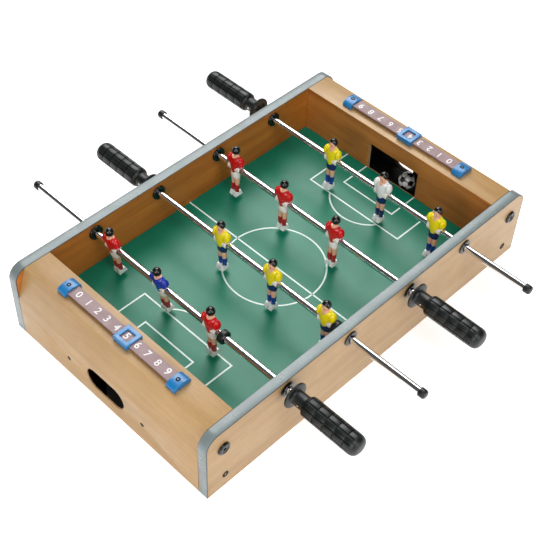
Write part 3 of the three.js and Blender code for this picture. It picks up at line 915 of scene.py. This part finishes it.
def addEndCap():
    # a thimble that covers the rod's far end
    cap = addTurned("capModel", [
        (0.0, 2.6), (0.2, 3.7), (0.7, 4.5), (1.5, 5.0), (2.4, 5.2), (4, 5.25), (7.5, 5.25), (8, 5.1), (8.2, 4.8),
        (8.2, 4.2), (2.0, 4.2)], 40)
    giveMaterials(cap, gripPlastic)
    return smooth(cap, 30)


stopRing = {"radius": 8, "endRadius": 7.4, "half": 3.5, "chamfer": 0.6, "bore": 4.3}


def addStopRing():
    radius, endRadius, half = stopRing["radius"], stopRing["endRadius"], stopRing["half"]
    run = half - stopRing["chamfer"]
    ring = addTurned("ringModel", [(-half, endRadius), (-run, radius), (run, radius), (half, endRadius)])
    boreThrough(ring, endRadius, stopRing["bore"])
    softenEdges(ring, 0.4, 2, 25)
    giveMaterials(ring, gripPlastic)
    return smooth(ring, 30)


bushing = {"flange": 9.2, "barrel": 6.2, "bore": 4.3, "innerThickness": 3, "outerThickness": 2}


def addBushing():
    # a thick flange inside and a thin one outside, joined by the barrel through the wall
    flange, barrel = bushing["flange"], bushing["barrel"]
    inner = wall["width"] / 2 - wall["thickness"]
    outer = wall["width"] / 2
    innerFace, outerFace = inner - bushing["innerThickness"], outer + bushing["outerThickness"]
    sleeve = addTurned("bushingModel", [
        (innerFace, 6.0), (innerFace, 7.6), (inner - 2.7, flange - 0.4), (inner - 2.2, flange),
        (inner - 0.1, flange), (inner - 0.1, barrel), (outer + 0.1, barrel), (outer + 0.1, flange),
        (outer + 1.3, flange), (outer + 1.8, flange - 0.5), (outerFace, flange - 1.4), (outerFace, 6.0)])
    startEdit(sleeve)
    for facing, reach in ((-1, innerFace), (1, outerFace)):
        chooseFaces(lambda centre, normal: normal.z * facing > 0.9 and abs(centre.z - reach) < 0.01
                    and centre.xy.length < 0.1)
        bpy.ops.mesh.inset(thickness=0.5 * mm)
        bpy.ops.mesh.extrude_region_move(TRANSFORM_OT_translate={"value": (0, 0, -0.7 * facing * mm)})
        bpy.ops.mesh.inset(thickness=(5.5 - bushing["bore"]) * mm)
    chooseFaces(lambda centre, normal: abs(normal.z) > 0.9 and centre.xy.length < 0.1)
    bpy.ops.mesh.bridge_edge_loops()
    endEdit()
    giveMaterials(sleeve, blackGloss)
    return smooth(sleeve, 40)


rodShape = {"radius": 4.0, "bore": 3.0}


def addRod(stem):
    # a tube as long as the plain rod it takes the place of
    low, high = boxOf(stem + "_rod")
    radius = rodShape["radius"]
    tube = addTurned(stem + "_tube", [(low.y, radius - 0.4), (low.y + 0.4, radius), (high.y - 0.4, radius),
                                      (high.y, radius - 0.4)])
    boreThrough(tube, radius - 0.4, rodShape["bore"])
    smooth(tube)
    giveMaterials(tube, chrome)
    freeze(tube, ((low.x + high.x) / 2, 0, (low.z + high.z) / 2), (-math.pi / 2, 0, 0))
    place(tube, stem + "_rod", "chrome", stem + "_rod")


def tipOf(nodeName):
    # the end of a piece that lies furthest from the table, and which way round it goes
    low, high = boxOf(nodeName)
    middle = (low + high) / 2
    outward = 1 if middle.y > 0 else -1
    tip = Vector((middle.x, high.y if outward > 0 else low.y, middle.z))
    return tip, (outward * math.pi / 2, 0, 0)


print("rods, grips and bushings")
gripModel = addGrip()
capModel = addEndCap()
ringModel = addStopRing()
bushingModel = addBushing()
for stem in rods:
    addRod(stem)
    tip, facing = tipOf(stem + "_grip")
    place(copyPiece(gripModel, stem + "_handle", tip, facing), stem + "_rod", "grip_plastic", stem + "_grip")
    tip, facing = tipOf(stem + "_end_cap")
    place(copyPiece(capModel, stem + "_tip_cap", tip, facing), stem + "_carriage", "grip_plastic",
          stem + "_end_cap")
    if stem + "_stop_ring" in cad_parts:
        ring = copyPiece(ringModel, stem + "_stopper", middleOf(stem + "_stop_ring"), (math.pi / 2, 0, 0))
        place(ring, stem + "_rod", "black_plastic", stem + "_stop_ring")
    axis = middleOf(stem + "_rod")
    for sideName, side in (("front", 1), ("back", -1)):
        sleeve = copyPiece(bushingModel, stem + "_" + sideName + "_sleeve", (axis.x, 0, axis.z),
                           (side * math.pi / 2, 0, 0))
        place(sleeve, "table", "black_plastic", stem + "_" + sideName + "_bushing")
discard(gripModel, capModel, ringModel, bushingModel)


# The figures: x forward, y across and z up from the rod

figure = {
    "bootBottom": -44.4, "bootTop": -38.2, "hubRadius": 5.2, "hubHalf": 9.6, "rodBore": 4.05,
    "shoulderFrom": 8, "shoulderTo": 16, "shoulderStretch": (1.04, 1.05, 1),
}


def paintedLoft(name, sections, material, sides=16):
    part = addLofted(name, sections, sides)
    useModifier(part, "SUBSURF", levels=1, render_levels=1)
    return giveMaterials(part, material)


def paintedEgg(name, centre, radii, material, segments=24, rings=14, rotation=(0, 0, 0)):
    return giveMaterials(addEgg(name, centre, radii, segments, rings, rotation), material)


def addLeg(side):
    # thigh and sock of one leg
    y = side * 3.0
    thigh = paintedLoft("thigh", [
        (-29, 2.6, 2.5, 0.1, y), (-27.5, 2.9, 2.75, 0.1, y), (-23, 3.2, 2.9, 0.2, y), (-18, 3.8, 3.2, 0.2, y),
        (-12, 4.0, 3.4, 0.1, y)], skinPaint)
    sock = paintedLoft("sock", [
        (-40, 2.7, 2.5, 0.2, y), (-37.5, 2.8, 2.55, 0.1, y), (-33, 3.4, 2.95, -0.3, y), (-29.5, 3.6, 3.1, -0.2, y),
        (-26.9, 3.5, 3.05, 0.1, y), (-26.2, 3.3, 2.9, 0.1, y), (-26.0, 2.6, 2.3, 0.1, y)], redPaint)
    return [thigh, sock]


def addBoots():
    # the kicking block: a flared foot with a toe ledge and a groove between the boots
    bottom, top = figure["bootBottom"], figure["bootTop"]
    block = addBox("boots", (-4.6, -5.8, bottom), (6.6, 5.8, top))
    startEdit(block)
    chooseFaces(lambda centre, normal: normal.z > 0.9)
    bpy.ops.transform.resize(value=(0.72, 0.86, 1), center_override=(-0.6 * mm, 0, top * mm))
    chooseFaces(lambda centre, normal: normal.z < -0.9)
    bpy.ops.transform.resize(value=(1.06, 1.04, 1), center_override=(0, 0, bottom * mm))
    endEdit()
    giveMaterials(block, bootPaint)
    for end, lean in ((6.4, 0.3), (-4.8, -0.3)):
        groove = giveMaterials(addTurned("groove", [(-8, 1.0), (8, 1.0)], 24), bootPaint)
        cutAway(block, freeze(groove, (end, 0, -41), (0, lean, 0)))
    return softenEdges(block, 0.9, 3, 40)


def addHead():
    # a plain moulded face: nose, ears, a mouth and small painted eyes, under a cap of hair
    face = paintedEgg("face", (1.5, 0, 24.2), (4.4, 4.3, 4.9), skinPaint)
    nose = paintedEgg("nose", (5.8, 0, 23.6), (0.8, 0.6, 1.0), skinPaint, 12, 8)
    mouth = paintedEgg("mouth", (5.1, 0, 21.6), (0.45, 1.0, 0.28), redPaint, 12, 8)
    parts = [face, nose, mouth]
    for side in (-1, 1):
        parts.append(paintedEgg("ear", (1.2, side * 4.4, 23.9), (1.0, 0.6, 1.3), skinPaint, 12, 8))
        parts.append(paintedEgg("eye", (5.5, side * 1.5, 24.8), (0.35, 0.55, 0.4), hairPaint, 12, 8))
    parts.append(paintedLoft("neck", [
        (14.6, 3.2, 3.8, -0.2, 0), (17.2, 3.0, 3.3, 0, 0), (19.0, 2.8, 2.9, 0.4, 0), (22, 2.6, 2.7, 0.8, 0)],
        skinPaint))
    hair = addEgg("hair", (0.5, 0, 25.7), (5.3, 5.25, 5.4), 28, 16)
    startEdit(hair)
    bpy.ops.mesh.select_all(action="SELECT")
    bpy.ops.mesh.bisect(plane_co=Vector((3.6, 0, 25.7)) * mm, plane_no=(0.84, 0, -0.54), clear_outer=True,
                        use_fill=True)
    endEdit()
    softenEdges(hair, 0.35, 2, 40)
    parts.append(giveMaterials(hair, hairPaint))
    return parts


def addTorso():
    # a shirt that runs to a V below the rod, short puffed sleeves and the forearms down to the rod
    shirt = paintedLoft("shirt", [
        (-7.4, 4.0, 2.4, 0.3, 0), (-6.6, 5.0, 3.6, 0.3, 0), (-4, 5.8, 5.4, 0.3, 0), (0, 6.1, 7.2, 0.3, 0),
        (5, 6.2, 8.6, 0.2, 0), (10, 5.8, 9.8, 0, 0), (14, 5.2, 10.2, -0.1, 0), (16.8, 4.2, 8.4, -0.1, 0),
        (18.4, 3.2, 4.6, 0, 0)], redShirt, 24)
    parts = [shirt]
    for side in (-1, 1):
        sleeve = addEgg("sleeve", (0.1, side * 8.9, 10.4), (4.9, 3.4, 7.2), 24, 16, (side * 0.1, 0, 0))
        startEdit(sleeve)
        bpy.ops.mesh.select_all(action="SELECT")
        bpy.ops.mesh.bisect(plane_co=Vector((0, side * 9, 4.4)) * mm, plane_no=(0, side * 0.3, -0.95),
                            clear_outer=True, use_fill=True)
        endEdit()
        softenEdges(sleeve, 0.3, 2, 40)
        parts.append(giveMaterials(sleeve, redShirt))
        parts.append(paintedLoft("forearm", [
            (-5.4, 2.0, 1.6, 0.4, side * 7.8), (-3.2, 2.8, 2.1, 0.6, side * 8.2), (1, 2.9, 2.2, 0.6, side * 9),
            (7, 2.6, 2.0, 0.1, side * 9.2)], armPaint))
    half, radius = figure["hubHalf"], figure["hubRadius"]
    hub = addTurned("hub", [(-half, radius - 0.9), (-half + 0.9, radius), (half - 0.9, radius),
                            (half, radius - 0.9)], 40)
    parts.append(freeze(giveMaterials(hub, armPaint), rotation=(math.pi / 2, 0, 0)))
    return parts


def addShorts():
    # both legs of the shorts in one
    return paintedLoft("shorts", [
        (-15.4, 4.2, 6.5, 0.1, 0), (-15.0, 4.8, 7.0, 0.1, 0), (-11, 5.1, 7.1, 0, 0), (-7, 5.0, 6.8, 0, 0),
        (-3, 4.7, 6.2, 0.1, 0)], whitePaint, 24)


def addFigure():
    # all the parts are made one body, which keeps their paints, and bored for the rod; both take the manifold
    # solver, because the exact one now and then drops the shirt from this many rounded parts
    parts = addTorso() + addHead() + [addShorts()] + addLeg(-1) + addLeg(1) + [addBoots()]
    body = unite(*parts)
    bore = giveMaterials(addTurned("bore", [(-20, figure["rodBore"]), (20, figure["rodBore"])], 40), armPaint)
    combine(body, [freeze(bore, rotation=(math.pi / 2, 0, 0))], "DIFFERENCE", "MANIFOLD")
    startEdit(body)
    chooseFaces(lambda centre, normal: figure["shoulderFrom"] < centre.z < figure["shoulderTo"])
    bpy.ops.transform.resize(value=figure["shoulderStretch"], center_override=(0, 0, 0))
    endEdit()
    # the shirt paint finds its neckline by each point's place on the upright figure
    own = body.data.attributes.new("figureSpace", "FLOAT_VECTOR", "POINT")
    for index, vertex in enumerate(body.data.vertices):
        own.data[index].vector = vertex.co / mm
    return smooth(body, 38)


teams = {
    "red": {"shirt": redShirt, "shorts": whitePaint, "socks": redPaint, "slot": "figure_red"},
    "blue": {"shirt": blueShirt, "shorts": whitePaint, "socks": redPaint, "slot": "figure_blue"},
    "yellow": {"shirt": yellowShirt, "shorts": navyPaint, "socks": royalPaint, "slot": "figure_yellow"},
    "white": {"shirt": whiteShirt, "shorts": navyPaint, "socks": navyPaint, "slot": "figure_white"},
}


def dress(player, team):
    # swaps the model's shirt, shorts and socks for the team's
    for slot in player.material_slots:
        if slot.material == redShirt:
            slot.material = team["shirt"]
        elif slot.material == whitePaint:
            slot.material = team["shorts"]
        elif slot.material == redPaint:
            slot.material = team["socks"]


print("figures")
figureModel = addFigure()
for stem, rod in rods.items():
    axis = middleOf(stem + "_rod")
    for index, spotName in enumerate(("far", "middle", "near")):
        teamName, lean = rod["team"][index]
        nodeName = stem + "_" + spotName + "_player"
        spot = (axis.x, middleOf(nodeName).y, axis.z)
        turn = (0, -rod["kick"] * math.radians(lean), 0 if rod["kick"] > 0 else math.pi)
        player = copyPiece(figureModel, stem + "_" + spotName + "_figure", spot, turn)
        dress(player, teams[teamName])
        place(player, stem + "_rod", teams[teamName]["slot"], nodeName)
discard(figureModel)


# The scoreboards

score = {
    "x": 225.0, "barLength": 168.0, "barWidth": 15.4, "barThickness": 2.2, "barBottom": 3.0, "capLength": 13.2,
    "capWidth": 23.0, "capHeight": 8.0, "capOverlap": 3.8, "capScrewRadius": 2.7, "sliderSize": 22.0,
    "window": 12.0, "digitHeight": 8.6,
    "centres": {"left": 0.6, "right": 0.0}, "sliders": {"left": -8.5, "right": -5.5},
    "digits": {"left": (70.7, 55, 39.4, 24.7, 8.6, -7.2, -24.2, -39.2, -55.1, -70.3),
               "right": (-68.2, -53.1, -37.8, -22.5, -7.7, 8.3, 24.3, 39.7, 55.9, 71.6)},
}


def addScoreCap():
    # an arched block with a pocket for the bar, its pocket towards -Y
    halfWidth, length, height = score["capWidth"] / 2, score["capLength"], score["capHeight"]
    cap = addBox("capBlock", (-halfWidth, 0, 0.1), (halfWidth, length, height * 0.34))
    startEdit(cap)
    chooseFaces(lambda centre, normal: normal.z > 0.9)
    for rise, share in ((0.17, 0.966), (0.16, 0.897), (0.14, 0.816), (0.1, 0.707), (0.06, 0.518), (0.03, 0.3)):
        bpy.ops.mesh.extrude_region_move(TRANSFORM_OT_translate={"value": (0, 0, rise * height * mm)})
        bpy.ops.transform.resize(value=(share, 1, 1), center_override=(0, length / 2 * mm, 0))
    endEdit()
    softenEdges(cap, 0.6, 3, 40)
    half = score["barWidth"] / 2 + 0.1
    pocket = addBox("pocket", (-half, -1, score["barBottom"] - 0.1),
                    (half, 5.1, score["barBottom"] + score["barThickness"] + 0.1))
    giveMaterials(cap, scoreBlue)
    giveMaterials(pocket, scoreBlue)
    cutAway(cap, pocket)
    return smooth(cap, 35)


def addScoreSlider():
    # a square frame round the bar
    half = score["sliderSize"] / 2
    frameBlock = addBox("sliderFrame", (-half, -half, 0.8), (half, half, 7.4))
    startEdit(frameBlock)
    chooseFaces(lambda centre, normal: abs(normal.z) > 0.9)
    bpy.ops.mesh.inset(thickness=(half - score["window"] / 2) * mm, use_individual=True)
    bpy.ops.mesh.bridge_edge_loops()
    endEdit()
    softenEdges(frameBlock, 0.5, 3, 40)
    slotHalf = score["barWidth"] / 2 + 0.1
    slot = addBox("barSlot", (-slotHalf, -30, score["barBottom"] - 0.1),
                  (slotHalf, 30, score["barBottom"] + score["barThickness"] + 0.1))
    giveMaterials(frameBlock, scoreBlue)
    giveMaterials(slot, scoreBlue)
    cutAway(frameBlock, slot)
    return smooth(frameBlock, 35)


def addDigit(text, spot, turn):
    # one printed figure, with its middle at the spot
    clearSelection()
    bpy.ops.object.text_add()
    digit = bpy.context.active_object
    digit.data.body = text
    digit.data.align_x = "CENTER"
    digit.data.align_y = "CENTER"
    digit.data.size = score["digitHeight"] * 1.42 * mm
    digit.data.offset = 0.00016
    digit.data.extrude = 0.00005
    pick(digit)
    bpy.ops.object.convert(target="MESH")
    return freeze(bpy.context.active_object, spot, (0, 0, turn))


def addScoreboard(name, end):
    # the bar and its digits, the two holders that carry it, and the slider that marks the score
    x, centreY, base = end * score["x"], score["centres"][name], wall["height"]
    width, length = score["barWidth"] / 2, score["barLength"] / 2
    low, high = base + score["barBottom"], base + score["barBottom"] + score["barThickness"]
    bar = addBox(name + "_number_bar", (x - width, centreY - length, low), (x + width, centreY + length, high))
    softenEdges(bar, 0.35, 2)
    giveMaterials(bar, scoreMauve)
    place(bar, "table", "score_bar", name + "_score_bar")
    turn = -math.pi / 2 if end < 0 else math.pi / 2
    digits = [addDigit(str(value), (x, y, high), turn) for value, y in enumerate(score["digits"][name])]
    numbers = named(joinPieces(*digits), name + "_numbers")
    giveMaterials(numbers, digitWhite)
    place(numbers, "table", "figure_white")
    capY = length - score["capOverlap"]
    for sideName, side in (("back", 1), ("front", -1)):
        cap = copyPiece(scoreCapModel, name + "_" + sideName + "_holder", (x, centreY + side * capY, base),
                        (0, 0, 0 if side > 0 else math.pi))
        place(cap, "table", "score_blue", name + "_score_" + sideName + "_cap")
        screw = copyPiece(capScrewModel, name + "_" + sideName + "_holder_screw",
                          (x, centreY + side * (capY + score["capLength"] / 2), base + score["capHeight"] - 0.25))
        place(screw, "table", "bolt_black")
    slider = copyPiece(sliderModel, name + "_marker", (x, score["sliders"][name], base))
    place(slider, name + "_score_slider", "score_blue", name + "_score_slider")


print("scoreboards")
scoreCapModel = addScoreCap()
sliderModel = addScoreSlider()
capScrewModel = addScrewHead(score["capScrewRadius"])
addScoreboard("left", -1)
addScoreboard("right", 1)
discard(scoreCapModel, sliderModel, capScrewModel)


# The ball

ball = {"radius": 13.5, "centre": (225.6, -12.0, 31.0), "seam": 0.22}


def addBall():
    # twelve black and twenty white panels, cut from a twenty-sided block and rounded
    clearSelection()
    bpy.ops.mesh.primitive_ico_sphere_add(subdivisions=1, radius=ball["radius"] * mm)
    piece = named(bpy.context.active_object, "football")
    giveMaterials(piece, ballWhite, ballBlack, screwBlack)
    startEdit(piece, "VERT")
    bpy.ops.mesh.select_all(action="SELECT")
    start, end = (piece.data.vertices[index].co for index in piece.data.edges[0].vertices)
    edgeLength = (start - end).length
    bpy.ops.mesh.bevel(offset=edgeLength / 3, offset_type="OFFSET", segments=1, affect="VERTICES")
    bpy.ops.mesh.select_mode(type="FACE")
    mesh = bmesh.from_edit_mesh(piece.data)
    for face in mesh.faces:
        face.material_index = 1 if len(face.verts) == 5 else 0
    bmesh.update_edit_mesh(piece.data)
    bpy.ops.mesh.select_all(action="SELECT")
    bpy.ops.mesh.inset(thickness=0.4 * mm, use_individual=True)
    mesh = bmesh.from_edit_mesh(piece.data)
    for face in mesh.faces:
        if len(face.verts) == 4:
            face.material_index = 2
    bmesh.update_edit_mesh(piece.data)
    endEdit()
    useModifier(piece, "SUBSURF", subdivision_type="SIMPLE", levels=3, render_levels=3)
    useModifier(piece, "CAST", factor=1.0, radius=ball["radius"] * mm, use_radius_as_size=False, size=0.0)
    startEdit(piece)
    piece.active_material_index = 2
    bpy.ops.object.material_slot_select()
    bpy.ops.transform.shrink_fatten(value=-ball["seam"] * mm)
    endEdit()
    smooth(piece, 60)
    freeze(piece, ball["centre"], (0.25, 0.1, 0.4))
    place(piece, "ball", "ball_plastic", "ball")


print("ball")
addBall()


# Floor, lights and camera

studio = {
    "target": (-20.086, 19.85, 40.0), "distance": 1341.08, "azimuth": -45.259, "elevation": 47.408, "roll": 1.154,
    "lens": 76.8, "shift": (0.0371, -0.0154), "floorSize": 30, "floorGlow": 0.55, "roomLight": 0.09,
}
lights = {  # place and size in metres, and power in watts
    "backLight": {"location": (1.3, 1.5, 2.3), "size": (2.2, 2.2), "power": 82},
    "topLight": {"location": (-0.7, -0.9, 2.2), "size": (1.0, 1.0), "power": 16},
    "leftLight": {"location": (-2.0, -0.6, 1.0), "size": (1.2, 1.0), "power": 17},
    "frontLight": {"location": (-0.3, -2.1, 1.0), "size": (1.2, 1.0), "power": 13.5},
}


def addFloor():
    clearSelection()
    bpy.ops.mesh.primitive_plane_add(size=studio["floorSize"])
    floor = named(bpy.context.active_object, "floor")
    material, tree, shader = startMaterial("paleFloor")
    shader.inputs["Base Color"].default_value = (0.9, 0.9, 0.9, 1)
    shader.inputs["Roughness"].default_value = 0.8
    shader.inputs["Specular IOR Level"].default_value = 0.2
    shader.inputs["Emission Color"].default_value = (1, 1, 1, 1)
    shader.inputs["Emission Strength"].default_value = studio["floorGlow"]
    giveMaterials(floor, material)


def addSoftLight(name, location, size, power):
    # a flat panel turned to the middle of the table
    lamp = bpy.data.lights.new(name, "AREA")
    lamp.shape = "RECTANGLE"
    lamp.size, lamp.size_y = size
    lamp.energy = power
    light = bpy.data.objects.new(name, lamp)
    bpy.context.collection.objects.link(light)
    light.location = location
    light.rotation_euler = (-Vector(location)).to_track_quat("-Z", "Y").to_euler()


def setWorld():
    world = bpy.data.worlds.new("softRoom")
    bpy.context.scene.world = world
    world.use_nodes = True
    background = world.node_tree.nodes["Background"]
    background.inputs["Color"].default_value = (1.0, 1.0, 1.0, 1)
    background.inputs["Strength"].default_value = studio["roomLight"]


def addCamera():
    # looks at the target from its azimuth and elevation, rolled a little
    azimuth, elevation = math.radians(studio["azimuth"]), math.radians(studio["elevation"])
    back = Vector((math.sin(azimuth) * math.cos(elevation), -math.cos(azimuth) * math.cos(elevation),
                   math.sin(elevation)))
    right = Vector((math.cos(azimuth), math.sin(azimuth), 0))
    up = back.cross(right)
    roll = math.radians(studio["roll"])
    tiltedRight = right * math.cos(roll) + up * math.sin(roll)
    tiltedUp = up * math.cos(roll) - right * math.sin(roll)
    turn = Matrix((tiltedRight, tiltedUp, back)).transposed().to_4x4()
    lens = bpy.data.cameras.new("camera")
    lens.lens = studio["lens"]
    lens.sensor_width = 36
    lens.shift_x, lens.shift_y = studio["shift"]
    camera = bpy.data.objects.new("camera", lens)
    bpy.context.collection.objects.link(camera)
    spot = (Vector(studio["target"]) + back * studio["distance"]) * mm
    camera.matrix_world = Matrix.Translation(spot) @ turn
    bpy.context.scene.camera = camera


print("studio")
addFloor()
setWorld()
for lightName, light in lights.items():
    addSoftLight(lightName, **light)
addCamera()
bpy.context.scene.view_settings.view_transform = "Standard"


print("finished")
